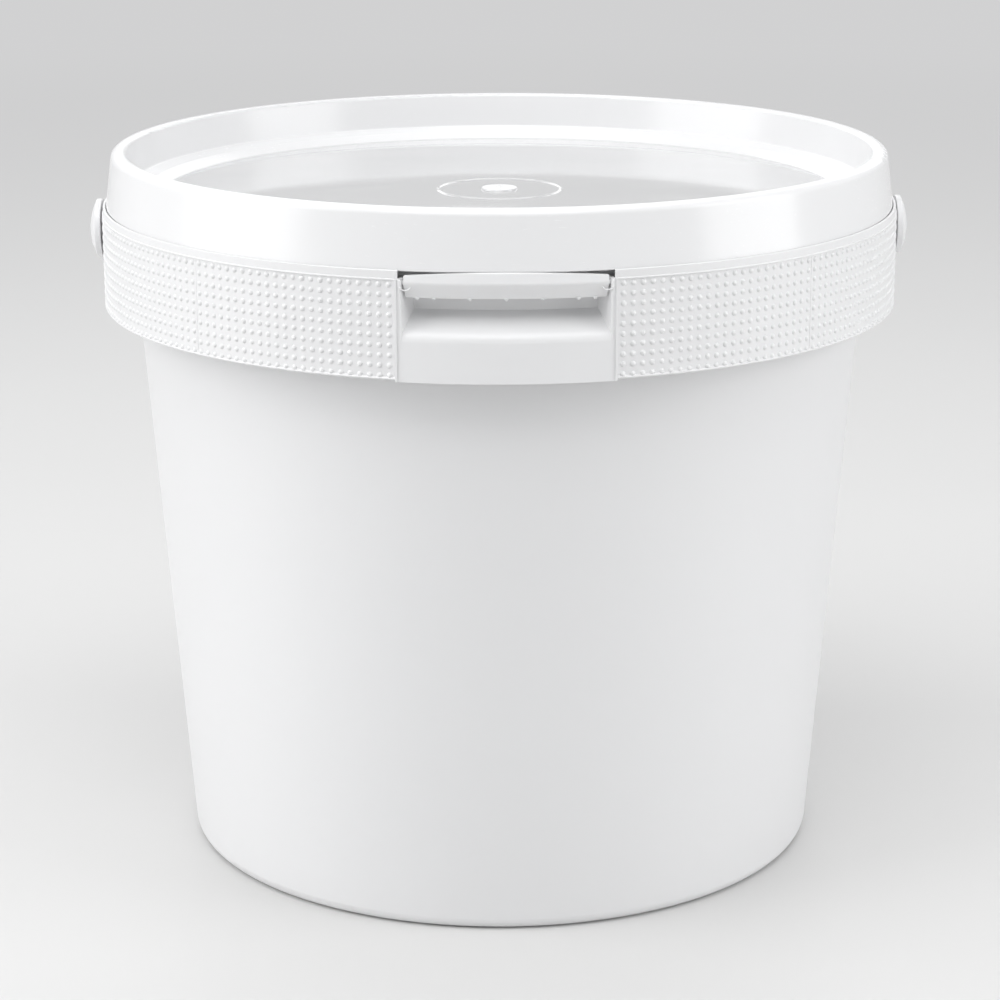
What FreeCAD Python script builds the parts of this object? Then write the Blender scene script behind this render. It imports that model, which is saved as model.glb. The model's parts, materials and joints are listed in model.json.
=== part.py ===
import FreeCAD, Part
import math
import os

# Round plastic pail with a press-on lid, a tear-off tab and a bail handle, shut.
# Millimetres, +Z up. The origin is on the floor at the pail's axis. The tab and its
# finger pocket face -Y, and the handle turns about a line along X.
# Outlines are lists of (distance across, height, corner): a corner is an arc's radius,
# a bevel's length with a minus sign, or 0 where it is sharp.

# Overall sizes
PAIL_HEIGHT = 202.0  # floor to the top of the closed lid
COLLAR_RADIUS = 113.0  # outer face of the collar

# Wall and foot
WALL_DRAFT = 4.28  # degrees off the vertical
COLLAR_OVERHANG = 9.66  # wall to the collar's outer face, at the collar's lower edge
FOOT_CORNER = 3.5
FOOT_RING_WIDTH = 4.5
FOOT_RING_EDGE = 0.8
BASE_RECESS = 2.5  # height of the base's middle above the foot ring
BASE_SLOPE = 3.0  # width of the slope from the foot ring up to the middle
BASE_RING_RADIUS = 40.0  # raised ring moulded under the base
BASE_RING_WIDTH = 2.0
BASE_RING_DEPTH = 0.8
GATE_MARK_RADIUS = 4.0
GATE_MARK_DEPTH = 0.6

# Collar, the skirt that hangs round the wall below the lid
LIP_BELOW_TOP = 15.2  # top of the lid to the top of the collar's lip
COLLAR_HEIGHT = 28.1  # lower edge to the top of the lip
COLLAR_THICKNESS = 1.5
COLLAR_EDGE = 0.3
PLAIN_EDGE = 0.8  # plain band along the collar's lower edge
FIELD_RECESS = 0.4  # dotted field and lip, behind the plain band
LIP_HEIGHT = 2.1
LIP_THICKNESS = 0.75
LIP_EDGE = 0.2
FLANGE_BELOW_LIP = 2.6  # top of the lip to the top of the flange
FLANGE_THICKNESS = 1.5
FLANGE_CORNER = 0.6
RIB_COUNT = 24
RIB_THICKNESS = 1.2
RIB_OUTER_DEPTH = 14.0  # at the collar
RIB_INNER_DEPTH = 9.0  # at the wall

# Lid
LID_EDGE_BELOW_LIP = 0.4  # the lid's lower edge lies this far inside the lip
LID_WALL = 1.15
LID_TOP_THICKNESS = 1.4
SKIRT_GAP = 0.15  # lid's skirt to the collar's lip
SKIRT_DRAFT = 7.3
SHOULDER_RADIUS = 2.0
RIM_BAND = 3.9  # skirt to plug wall, at the top
RIM_INNER_EDGE = 1.0
PLUG_DRAFT = 8.5
LEDGE_DEPTH = 10.0  # top of the lid to the ledge at the foot of the plug wall
LEDGE_WIDTH = 4.0
LEDGE_FALL = 1.0
PANEL_DEPTH = 13.0
PANEL_STEP_WIDTH = 4.0
PANEL_THICKNESS = 1.2
RING_BEAD_RADIUS = 17.5
RING_BEAD_WIDTH = 1.0
RING_BEAD_HEIGHT = 0.35
GATE_DISC_RADIUS = 5.0
GATE_DISC_HEIGHT = 0.5

# Neck, the pail's rim inside the lid's channel, and the beads that snap together
RIM_GAP = 0.15  # rim to the lid's plug wall, at the top
RIM_THICKNESS = 1.2
RIM_EDGE = 0.3
NECK_BEAD_BELOW_RIM = 6.2
NECK_BEAD_DEPTH = 0.5
BEAD_HEIGHT = 1.8
LID_BEAD_GAP = 0.25  # lid's bead to the neck
BEAD_SEAT_GAP = 0.3  # between the two beads, one above the other

# Front panel and finger pocket
FRONT_MARGIN = 1.7  # pocket's side to the panel's side
FRONT_PROUD = 0.3
FRONT_DROP = 0.35  # the panel reaches this far below the collar's lower edge
FRONT_BEAD_WIDTH = 0.6
FRONT_BEAD_HEIGHT = 0.3
POCKET_SILL = 11.7  # collar's lower edge to the front corner of the pocket's floor
POCKET_SILL_RADIUS = 3.0
POCKET_FLOOR_SLOPE = 31.0
POCKET_HALF_WIDTH = 26.4  # at the front
POCKET_NARROWING = 3.3  # each side, from the front to the wall
POCKET_WALL = 1.4
NOTCH_MARGIN = 0.8  # pocket's side to the end of the gap in the lip

# Tamper tab
TAB_END_GAP = 0.6  # tab's end to the pocket's side wall
TAB_TOP_GAP = 0.15  # below the top of the lip
TAB_CREASE_BELOW_LIP = 3.1
TAB_CREASE_PROUD = 0.2
TAB_HEIGHT = 7.0
TAB_THICKNESS = 1.2
TAB_EDGE = 0.25
TAB_FOOT_SET_BACK = 1.8
TAB_CROWN = 1.15  # the tab's upper edge falls this much from its middle to its ends
TAB_CORNER = 2.2
TAB_CORNER_FACETS = 5
BRIDGE_HEIGHT = 0.9
BRIDGE_THICKNESS = 0.7
BRIDGE_REACH = 3.0  # from the pocket's side wall into the tab

# Handle
PIVOT_BELOW_LIP = 8.4
PIN_RADIUS = 3.0
PIN_CLEARANCE = 0.08
PIN_HEAD_LIP = 0.7  # snap head beyond the pin
PIN_HEAD_LENGTH = 1.8
PIN_HEAD_ROOM = 1.6  # pail's wall to the snap head
PIN_END_PLAY = 0.25  # snap head to the boss
PIN_SLOT = 1.0
BOSS_WALL = 2.1
DISC_RADIUS = 8.2
DISC_GAP = 0.45  # collar to the disc
DISC_THICKNESS = 3.55
DISC_DOME = 2.0
DISC_EDGE = 0.6
STRAP_GAP = 1.2  # collar to the strap's inner face
STRAP_THICKNESS = 2.4
STRAP_WIDTH = 10.0
STRAP_EDGE = 0.6
BOW_STRAIGHT = 4.0  # from the pivot to the start of the bow's half circle
GRIP_WIDTH = 16.0
GRIP_HALF_LENGTH = 42.0
GRIP_TAPER = 16.0
GRIP_REST_GAP = 0.5  # hanging handle to the wall behind

ORIGIN = FreeCAD.Vector(0, 0, 0)
UP = FreeCAD.Vector(0, 0, 1)
EMBED = 1.0  # pieces of one solid overlap by this much where they are fused
BEYOND = 6.0  # cutters reach this far past what they cut

# Heights and radii that follow from the sizes
LIP_TOP = PAIL_HEIGHT - LIP_BELOW_TOP
LIP_FOOT = LIP_TOP - LIP_HEIGHT
COLLAR_FOOT = LIP_TOP - COLLAR_HEIGHT
FLANGE_TOP = LIP_TOP - FLANGE_BELOW_LIP
FLANGE_FOOT = FLANGE_TOP - FLANGE_THICKNESS
COLLAR_INNER = COLLAR_RADIUS - COLLAR_THICKNESS
LIP_OUTER = COLLAR_RADIUS - FIELD_RECESS
LIP_INNER = LIP_OUTER - LIP_THICKNESS
LID_EDGE = LIP_TOP - LID_EDGE_BELOW_LIP
SKIRT_FOOT_RADIUS = LIP_INNER - SKIRT_GAP
SKIRT_TOP_RADIUS = SKIRT_FOOT_RADIUS - (PAIL_HEIGHT - LID_EDGE) * math.tan(math.radians(SKIRT_DRAFT))
PLUG_TOP_RADIUS = SKIRT_TOP_RADIUS - RIM_BAND
RIM_TOP = PAIL_HEIGHT - LID_TOP_THICKNESS
PANEL_TOP = PAIL_HEIGHT - PANEL_DEPTH
PANEL_FOOT = PANEL_TOP - PANEL_THICKNESS
FRONT_RADIUS = COLLAR_RADIUS + FRONT_PROUD
PIVOT_HEIGHT = LIP_TOP - PIVOT_BELOW_LIP
BOW_RADIUS = COLLAR_RADIUS + STRAP_GAP
SILL_HEIGHT = COLLAR_FOOT + POCKET_SILL
FRONT_HALF_WIDTH = POCKET_HALF_WIDTH + FRONT_MARGIN
NOTCH_HALF_WIDTH = POCKET_HALF_WIDTH + NOTCH_MARGIN


def wall_radius(height):
    """Radius of the pail's outer wall at a height above the floor."""
    rise = (height - COLLAR_FOOT) * math.tan(math.radians(WALL_DRAFT))
    return COLLAR_RADIUS - COLLAR_OVERHANG + rise


def skirt_radius(height):
    """Outer radius of the lid's skirt at a height above the floor."""
    return SKIRT_FOOT_RADIUS - (height - LID_EDGE) * math.tan(math.radians(SKIRT_DRAFT))


def plug_radius(height):
    """Inner radius of the lid's plug wall, the side seen from above, at a height."""
    return PLUG_TOP_RADIUS - (PAIL_HEIGHT - height) * math.tan(math.radians(PLUG_DRAFT))


def pocket_floor_height(radius):
    """Height of the pocket's sloping floor at a distance from the pail's axis."""
    return SILL_HEIGHT + (FRONT_RADIUS - radius) * math.tan(math.radians(POCKET_FLOOR_SLOPE))


NECK_INNER = plug_radius(RIM_TOP) + LID_WALL + RIM_GAP
NECK_OUTER = NECK_INNER + RIM_THICKNESS
PIN_HEAD_INNER = wall_radius(PIVOT_HEIGHT) + PIN_HEAD_ROOM
PIN_HEAD_OUTER = PIN_HEAD_INNER + PIN_HEAD_LENGTH
BOSS_INNER = PIN_HEAD_OUTER + PIN_END_PLAY


def corner_edge(before, corner, after, size):
    """Arc or bevel across a corner, with the points where it starts and ends."""
    back = (before - corner).normalize()
    ahead = (after - corner).normalize()
    if size < 0:
        start = corner - back * size
        end = corner - ahead * size
        return Part.makeLine(start, end), start, end
    radius = size
    half = back.getAngle(ahead) / 2
    reach = radius / math.tan(half)
    inward = (back + ahead).normalize()
    middle = corner + inward * (radius / math.sin(half) - radius)
    start = corner + back * reach
    end = corner + ahead * reach
    return Part.Arc(start, middle, end).toShape(), start, end


def outline_face(corners, place):
    """Flat face inside a closed outline; place turns (a, b) into a point."""
    points = [place(a, b) for a, b, size in corners]
    edges = []
    ends = []
    for index, (a, b, size) in enumerate(corners):
        start = points[index]
        end = start
        if size:
            after = points[(index + 1) % len(points)]
            edge, start, end = corner_edge(points[index - 1], points[index], after, size)
            edges.append(edge)
        ends.append((start, end))
    for index, (start, end) in enumerate(ends):
        following = ends[(index + 1) % len(ends)][0]
        if end.distanceToPoint(following) > 1e-6:
            edges.append(Part.makeLine(end, following))
    return Part.Face(Part.Wire(Part.__sortEdges__(edges)))


def in_side_view(a, b):
    return FreeCAD.Vector(a, 0, b)


def in_plan(a, b):
    return FreeCAD.Vector(a, b, 0)


def revolved(corners, first=75.0, sweep=360.0):
    """Solid of revolution about Z, from one azimuth through a sweep in degrees."""
    solid = outline_face(corners, in_side_view).revolve(ORIGIN, UP, sweep)
    solid.rotate(ORIGIN, UP, first)
    return solid


def front_sector(corners, half_angle=20.0):
    """Part of a solid of revolution, centred on -Y."""
    return revolved(corners, -90.0 - half_angle, 2 * half_angle)


def plan_prism(corners, foot, top):
    """Upright prism on an outline drawn in plan."""
    face = outline_face(corners, in_plan)
    face.translate(UP * foot)
    return face.extrude(UP * (top - foot))


def bucket_outline():
    """Section of the filled and shut pail: foot, wall, collar, neck and rim."""
    foot = wall_radius(0)
    ring_inner = foot - FOOT_CORNER - FOOT_RING_WIDTH
    slope_inner = ring_inner - BASE_SLOPE
    ring_edge = BASE_RING_RADIUS + BASE_RING_WIDTH
    bead_top = RIM_TOP - NECK_BEAD_BELOW_RIM
    bead_middle = bead_top - BEAD_HEIGHT / 2
    bead_foot = bead_top - BEAD_HEIGHT
    return [
        (0, BASE_RECESS + GATE_MARK_DEPTH, 0),
        (GATE_MARK_RADIUS, BASE_RECESS + GATE_MARK_DEPTH, 0),
        (GATE_MARK_RADIUS, BASE_RECESS, 0),
        (BASE_RING_RADIUS, BASE_RECESS, 0),
        (BASE_RING_RADIUS, BASE_RECESS - BASE_RING_DEPTH, 0.3),
        (ring_edge, BASE_RECESS - BASE_RING_DEPTH, 0.3),
        (ring_edge, BASE_RECESS, 0),
        (slope_inner, BASE_RECESS, 1.0),
        (ring_inner, 0, FOOT_RING_EDGE),
        (foot, 0, FOOT_CORNER),
        (wall_radius(FLANGE_FOOT), FLANGE_FOOT, -FLANGE_CORNER),
        (COLLAR_INNER, FLANGE_FOOT, -FLANGE_CORNER),
        (COLLAR_INNER, COLLAR_FOOT, -COLLAR_EDGE),
        (COLLAR_RADIUS, COLLAR_FOOT, -COLLAR_EDGE),
        (COLLAR_RADIUS, COLLAR_FOOT + PLAIN_EDGE - FIELD_RECESS, 0),
        (LIP_OUTER, COLLAR_FOOT + PLAIN_EDGE, 0),
        (LIP_OUTER, LIP_TOP, -LIP_EDGE),
        (LIP_INNER, LIP_TOP, -LIP_EDGE),
        (LIP_INNER, FLANGE_TOP, 0),
        (NECK_OUTER, FLANGE_TOP, -FLANGE_CORNER),
        (NECK_OUTER, bead_foot, 0),
        (NECK_OUTER + NECK_BEAD_DEPTH, bead_middle, 0.4),
        (NECK_OUTER, bead_top, 0),
        (NECK_OUTER, RIM_TOP, RIM_EDGE),
        (NECK_INNER, RIM_TOP, RIM_EDGE),
        (NECK_INNER, PANEL_FOOT, 0),
        (0, PANEL_FOOT, 0),
    ]


def collar_ribs():
    """Gussets between the wall and the collar, under the flange."""
    inner_foot = FLANGE_FOOT - RIB_INNER_DEPTH
    outer_foot = FLANGE_FOOT - RIB_OUTER_DEPTH
    outline = [
        (wall_radius(inner_foot) - EMBED, FLANGE_FOOT + EMBED, 0),
        (wall_radius(inner_foot) - EMBED, inner_foot, 0),
        (COLLAR_INNER + EMBED, outer_foot, 0),
        (COLLAR_INNER + EMBED, FLANGE_FOOT + EMBED, 0),
    ]
    pitch = 360.0 / RIB_COUNT
    ribs = []
    for index in range(RIB_COUNT):
        rib = outline_face(outline, in_side_view).extrude(FreeCAD.Vector(0, RIB_THICKNESS, 0))
        rib.translate(FreeCAD.Vector(0, -RIB_THICKNESS / 2, 0))
        rib.rotate(ORIGIN, UP, pitch * (index + 0.5))
        ribs.append(rib)
    return ribs


def front_strip(inner, outer, foot, top, left, right):
    """Curved plate on the front, between two distances to the side."""
    ring = front_sector([(inner, foot, 0), (outer, foot, 0), (outer, top, 0), (inner, top, 0)])
    depth = outer + BEYOND
    side = Part.makeBox(right - left, depth, top - foot, FreeCAD.Vector(left, -depth, foot))
    return ring.common(side)


def front_panel():
    """Smooth raised panel round the pocket, with a fine bead up each side."""
    inner = COLLAR_RADIUS - EMBED
    foot = COLLAR_FOOT - FRONT_DROP
    width = FRONT_HALF_WIDTH
    bead_radius = FRONT_RADIUS + FRONT_BEAD_HEIGHT
    bead_start = width - FRONT_BEAD_WIDTH
    plate = front_strip(inner, FRONT_RADIUS, foot, LIP_FOOT, -width, width)
    right = front_strip(inner, bead_radius, foot, LIP_FOOT, bead_start, width)
    left = front_strip(inner, bead_radius, foot, LIP_FOOT, -width, -bead_start)
    return [plate, left, right]


def pocket_plan(wall, foot, top):
    """Upright prism on the pocket's plan, its splayed sides set out by a wall."""
    back_radius = wall_radius(SILL_HEIGHT)
    front = math.sqrt(FRONT_RADIUS ** 2 - POCKET_HALF_WIDTH ** 2)
    back_half = POCKET_HALF_WIDTH - POCKET_NARROWING
    back = math.sqrt(back_radius ** 2 - back_half ** 2)
    splay = POCKET_NARROWING / (front - back)
    near = front + BEYOND
    far = back - BEYOND
    near_half = POCKET_HALF_WIDTH + BEYOND * splay + wall
    far_half = back_half - BEYOND * splay + wall
    corners = [
        (-near_half, -near, 0),
        (near_half, -near, 0),
        (far_half, -far, 0),
        (-far_half, -far, 0),
    ]
    return plan_prism(corners, foot, top)


def pocket_block():
    """Solid that carries the pocket's floor and side walls inside the collar."""
    inner = wall_radius(SILL_HEIGHT) - EMBED
    outer = COLLAR_INNER + EMBED / 2
    wall = POCKET_WALL / math.cos(math.radians(POCKET_FLOOR_SLOPE))
    section = [
        (inner, pocket_floor_height(inner) - wall, 0),
        (outer, pocket_floor_height(outer) - wall, 0),
        (outer, LIP_FOOT, 0),
        (inner, LIP_FOOT, 0),
    ]
    return front_sector(section).common(pocket_plan(POCKET_WALL, COLLAR_FOOT, PAIL_HEIGHT))


def pocket_cavity():
    """Room for a finger: above the sloping floor, in front of the wall and the neck."""
    inner = wall_radius(SILL_HEIGHT) - BEYOND
    outer = FRONT_RADIUS + BEYOND
    turn = math.radians(90.0 - POCKET_FLOOR_SLOPE)
    sill_foot = SILL_HEIGHT - POCKET_SILL_RADIUS * math.tan(turn / 2)
    section = [
        (inner, pocket_floor_height(inner), 0),
        (FRONT_RADIUS, SILL_HEIGHT, POCKET_SILL_RADIUS),
        (FRONT_RADIUS, sill_foot, 0),
        (outer, sill_foot, 0),
        (outer, PAIL_HEIGHT, 0),
        (inner, PAIL_HEIGHT, 0),
    ]
    core = [
        (0, COLLAR_FOOT, 0),
        (wall_radius(COLLAR_FOOT), COLLAR_FOOT, 0),
        (wall_radius(FLANGE_FOOT), FLANGE_FOOT, 0),
        (NECK_OUTER + NECK_BEAD_DEPTH, FLANGE_FOOT, 0),
        (NECK_OUTER + NECK_BEAD_DEPTH, PAIL_HEIGHT + BEYOND, 0),
        (0, PAIL_HEIGHT + BEYOND, 0),
    ]
    room = front_sector(section).common(pocket_plan(0, COLLAR_FOOT, PAIL_HEIGHT))
    return room.cut(revolved(core))


def lip_notch():
    """Gap in the collar's lip where the tab lies."""
    inner = NECK_OUTER + FLANGE_CORNER + EMBED
    outer = FRONT_RADIUS + BEYOND
    return front_strip(inner, outer, LIP_FOOT, PAIL_HEIGHT, -NOTCH_HALF_WIDTH, NOTCH_HALF_WIDTH)


def turned_about_x(profile, side):
    """Solid of revolution about the handle's axis; profile is (x, radius, corner radius)."""
    face = outline_face(profile, in_side_view)
    solid = face.revolve(ORIGIN, FreeCAD.Vector(1, 0, 0), 360)
    solid.translate(UP * PIVOT_HEIGHT)
    if side < 0:
        solid = solid.mirror(ORIGIN, FreeCAD.Vector(1, 0, 0))
    return solid


def cylinder_about_x(start, end, radius, side):
    """Plain cylinder along the handle's axis."""
    profile = [(start, 0, 0), (start, radius, 0), (end, radius, 0), (end, 0, 0)]
    return turned_about_x(profile, side)


def bucket():
    """The pail with its collar, the pocket in the collar and the handle's bosses."""
    additions = collar_ribs() + front_panel() + [pocket_block()]
    holes = []
    for side in (-1, 1):
        boss_end = COLLAR_INNER + COLLAR_THICKNESS / 2
        hole = PIN_RADIUS + PIN_CLEARANCE
        additions.append(cylinder_about_x(BOSS_INNER, boss_end, hole + BOSS_WALL, side))
        holes.append(cylinder_about_x(BOSS_INNER, COLLAR_RADIUS + BEYOND, hole, side))
    solid = revolved(bucket_outline()).fuse(additions).removeSplitter()
    return solid.cut([pocket_cavity(), lip_notch()] + holes).removeSplitter()


def lid():
    """Lid with a skirt inside the collar's lip, a channel on the rim and a sunk panel."""
    ledge = PAIL_HEIGHT - LEDGE_DEPTH
    ledge_radius = plug_radius(ledge)
    ledge_inner = ledge_radius - LEDGE_WIDTH
    panel_radius = ledge_inner - PANEL_STEP_WIDTH
    ledge_foot = ledge - LID_WALL
    bead_top = RIM_TOP - NECK_BEAD_BELOW_RIM - BEAD_HEIGHT - BEAD_SEAT_GAP
    bead_foot = bead_top - BEAD_HEIGHT
    bead_middle = bead_top - BEAD_HEIGHT / 2
    ring_inner = RING_BEAD_RADIUS - RING_BEAD_WIDTH / 2
    ring_outer = RING_BEAD_RADIUS + RING_BEAD_WIDTH / 2
    disc_slope = GATE_DISC_RADIUS + GATE_DISC_HEIGHT / 2
    return revolved([
        (0, PANEL_TOP + GATE_DISC_HEIGHT, 0),
        (GATE_DISC_RADIUS, PANEL_TOP + GATE_DISC_HEIGHT, 0.2),
        (disc_slope, PANEL_TOP, 0),
        (ring_inner, PANEL_TOP, 0),
        (RING_BEAD_RADIUS, PANEL_TOP + RING_BEAD_HEIGHT, 0.3),
        (ring_outer, PANEL_TOP, 0),
        (panel_radius, PANEL_TOP, 1.2),
        (ledge_inner, ledge - LEDGE_FALL, 0.8),
        (ledge_radius, ledge, 0.6),
        (PLUG_TOP_RADIUS, PAIL_HEIGHT, RIM_INNER_EDGE),
        (SKIRT_TOP_RADIUS, PAIL_HEIGHT, SHOULDER_RADIUS),
        (SKIRT_FOOT_RADIUS, LID_EDGE, 0.3),
        (SKIRT_FOOT_RADIUS - LID_WALL, LID_EDGE, 0.3),
        (skirt_radius(bead_foot) - LID_WALL, bead_foot, 0),
        (NECK_OUTER + LID_BEAD_GAP, bead_middle, 0.4),
        (skirt_radius(bead_top) - LID_WALL, bead_top, 0),
        (skirt_radius(RIM_TOP) - LID_WALL, RIM_TOP, 0.2),
        (plug_radius(RIM_TOP) + LID_WALL, RIM_TOP, 0.2),
        (ledge_radius + LID_WALL, ledge_foot, 0.6),
        (ledge_inner, ledge_foot - LEDGE_FALL, 0),
        (panel_radius + PANEL_THICKNESS / 2, PANEL_FOOT, 0),
        (0, PANEL_FOOT, 0),
    ])


def tamper_tab():
    """Creased strip in the gap of the lip, held by a thin bridge at each end."""
    top = LIP_TOP - TAB_TOP_GAP
    crease = LIP_TOP - TAB_CREASE_BELOW_LIP
    foot = top - TAB_HEIGHT
    crease_radius = COLLAR_RADIUS + TAB_CREASE_PROUD
    foot_radius = crease_radius - TAB_FOOT_SET_BACK
    section = [
        (LIP_OUTER, top, -TAB_EDGE),
        (crease_radius, crease, -TAB_EDGE),
        (foot_radius, foot, -TAB_EDGE),
        (foot_radius - TAB_THICKNESS, foot + TAB_THICKNESS / 2, 0),
        (crease_radius - TAB_THICKNESS, crease + TAB_THICKNESS / 4, 0),
        (LIP_INNER, top, 0),
    ]
    half = POCKET_HALF_WIDTH
    crown_radius = half ** 2 / (2 * TAB_CROWN) + TAB_CROWN / 2
    centre = FreeCAD.Vector(0, -FRONT_RADIUS - BEYOND, top - crown_radius)
    depth = FRONT_RADIUS + 2 * BEYOND
    crown = Part.makeCylinder(crown_radius, depth, centre, FreeCAD.Vector(0, 1, 0))
    corner_x = half - TAB_CORNER
    corner_z = top - TAB_CROWN / 2 - TAB_CORNER
    right = [(half, foot - BEYOND, 0)]
    for facet in range(TAB_CORNER_FACETS + 1):
        turn = math.pi / 2 * facet / TAB_CORNER_FACETS
        across = corner_x + TAB_CORNER * math.cos(turn)
        right.append((across, corner_z + TAB_CORNER * math.sin(turn), 0))
    right.append((corner_x - 2 * TAB_CORNER, top, 0))
    left = [(-across, height, size) for across, height, size in reversed(right)]
    front = right + left
    face = outline_face(front, in_side_view)
    outline = face.extrude(FreeCAD.Vector(0, -FRONT_RADIUS - BEYOND, 0)).common(crown)
    room = pocket_plan(0, COLLAR_FOOT, PAIL_HEIGHT)
    strip = front_sector(section).common(outline).common(pocket_plan(-TAB_END_GAP, 0, PAIL_HEIGHT))
    bridge_top = crease + BRIDGE_HEIGHT / 2
    bridge_inner = crease_radius - TAB_THICKNESS
    bridge_outer = bridge_inner + BRIDGE_THICKNESS
    bridge_end = POCKET_HALF_WIDTH
    bridge_foot = bridge_top - BRIDGE_HEIGHT
    for left in (-bridge_end, bridge_end - BRIDGE_REACH):
        right = left + BRIDGE_REACH
        bridge = front_strip(bridge_inner, bridge_outer, bridge_foot, bridge_top, left, right)
        strip = strip.fuse(bridge.common(room))
    return strip.removeSplitter()


def handle_rest_angle():
    """Degrees below the horizontal at which the hanging grip lies near the wall."""
    reach = BOW_RADIUS + BOW_STRAIGHT
    low = 0.0
    high = math.pi / 2
    for step in range(40):
        angle = (low + high) / 2
        depth = reach * math.cos(angle) - GRIP_WIDTH / 2 * math.sin(angle)
        height = PIVOT_HEIGHT - reach * math.sin(angle) - GRIP_WIDTH / 2 * math.cos(angle)
        if depth > wall_radius(height) + GRIP_REST_GAP:
            low = angle
        else:
            high = angle
    return math.degrees(low)


def is_strap_side(face):
    """Whether a face is on the strap's inner or outer side, not on its edge."""
    normal = face.Surface.Axis
    if isinstance(face.Surface, Part.Cylinder):
        return abs(normal.z) > 0.9
    return abs(normal.x) > 0.9


def bow():
    """The handle's strap, drawn standing back from the pivot along +Y, with its grip."""
    outer = BOW_RADIUS + STRAP_THICKNESS
    straight = BOW_STRAIGHT
    edges = []
    for radius in (BOW_RADIUS, outer):
        start = FreeCAD.Vector(radius, straight, 0)
        top = FreeCAD.Vector(0, straight + radius, 0)
        end = FreeCAD.Vector(-radius, straight, 0)
        edges.append(Part.Arc(start, top, end).toShape())
        edges.append(Part.makeLine(FreeCAD.Vector(radius, 0, 0), start))
        edges.append(Part.makeLine(FreeCAD.Vector(-radius, 0, 0), end))
    for side in (-1, 1):
        inner_end = FreeCAD.Vector(side * BOW_RADIUS, 0, 0)
        edges.append(Part.makeLine(inner_end, FreeCAD.Vector(side * outer, 0, 0)))
    band = Part.Face(Part.Wire(Part.__sortEdges__(edges)))
    band.translate(FreeCAD.Vector(0, 0, -GRIP_WIDTH / 2))
    band = band.extrude(UP * GRIP_WIDTH)
    narrow = STRAP_WIDTH / 2
    wide = GRIP_WIDTH / 2
    end = outer + BEYOND
    taper_end = GRIP_HALF_LENGTH + GRIP_TAPER
    turn = GRIP_TAPER
    side_outline = [
        (-end, -narrow, 0),
        (-taper_end, -narrow, turn),
        (-GRIP_HALF_LENGTH, -wide, turn),
        (GRIP_HALF_LENGTH, -wide, turn),
        (taper_end, -narrow, turn),
        (end, -narrow, 0),
        (end, narrow, 0),
        (taper_end, narrow, turn),
        (GRIP_HALF_LENGTH, wide, turn),
        (-GRIP_HALF_LENGTH, wide, turn),
        (-taper_end, narrow, turn),
        (-end, narrow, 0),
    ]
    face = outline_face(side_outline, in_side_view)
    strap = band.common(face.extrude(FreeCAD.Vector(0, straight + outer + BEYOND, 0)))
    long_edges = []
    for edge in strap.Edges:
        faces = strap.ancestorsOfType(edge, Part.Face)
        beyond_pivot = max(vertex.Point.y for vertex in edge.Vertexes) > straight / 2
        if beyond_pivot and is_strap_side(faces[0]) != is_strap_side(faces[1]):
            long_edges.append(edge)
    return strap.makeChamfer(STRAP_EDGE, long_edges)


def pin(side):
    """Domed end disc with its pin through the collar and the slotted snap head."""
    disc_inner = COLLAR_RADIUS + DISC_GAP
    disc_outer = disc_inner + DISC_THICKNESS
    head_radius = PIN_RADIUS + PIN_HEAD_LIP
    dome_radius = DISC_RADIUS ** 2 / (2 * DISC_DOME) + DISC_DOME / 2
    profile = [
        (PIN_HEAD_INNER, 0, 0),
        (PIN_HEAD_INNER, PIN_RADIUS, 0),
        (PIN_HEAD_INNER + PIN_HEAD_LENGTH / 2, head_radius, 0),
        (PIN_HEAD_OUTER, head_radius, 0),
        (PIN_HEAD_OUTER, PIN_RADIUS, 0),
        (disc_inner, PIN_RADIUS, 0),
        (disc_inner, DISC_RADIUS, 0.3),
        (disc_outer, DISC_RADIUS, DISC_EDGE),
        (disc_outer, 0, 0),
    ]
    solid = turned_about_x(profile, side)
    centre = FreeCAD.Vector(side * (disc_outer - dome_radius), 0, PIVOT_HEIGHT)
    solid = solid.common(Part.makeSphere(dome_radius, centre))
    slot_length = disc_inner - PIN_HEAD_INNER - EMBED
    corner = FreeCAD.Vector(PIN_HEAD_INNER, -PIN_SLOT / 2, PIVOT_HEIGHT - DISC_RADIUS)
    slot = Part.makeBox(slot_length, PIN_SLOT, 2 * DISC_RADIUS, corner)
    if side < 0:
        slot = slot.mirror(ORIGIN, FreeCAD.Vector(1, 0, 0))
    return solid.cut(slot)


def handle():
    """Bail handle as it hangs, down behind the pail."""
    strap = bow()
    strap.translate(UP * PIVOT_HEIGHT)
    pivot = UP * PIVOT_HEIGHT
    strap.rotate(pivot, FreeCAD.Vector(1, 0, 0), -handle_rest_angle())
    return strap.fuse([pin(-1), pin(1)]).removeSplitter()


def main():
    os.makedirs("parts", exist_ok=True)
    pieces = {
        "bucket": bucket(),
        "lid": lid(),
        "tamper_tab": tamper_tab(),
        "handle": handle(),
    }
    for name, shape in pieces.items():
        shape.exportStep("parts/" + name + ".step")
        box = shape.BoundBox
        print(name, "valid", shape.isValid(), "solids", len(shape.Solids), "faces", len(shape.Faces),
              "volume", round(shape.Volume), "x", round(box.XMin, 2), round(box.XMax, 2),
              "y", round(box.YMin, 2), round(box.YMax, 2), "z", round(box.ZMin, 2), round(box.ZMax, 2))
    print("handle hangs", round(handle_rest_angle(), 2), "degrees below the horizontal")


main()
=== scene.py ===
import json
import math

import bmesh
import bpy
from mathutils import Matrix, Vector


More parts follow.
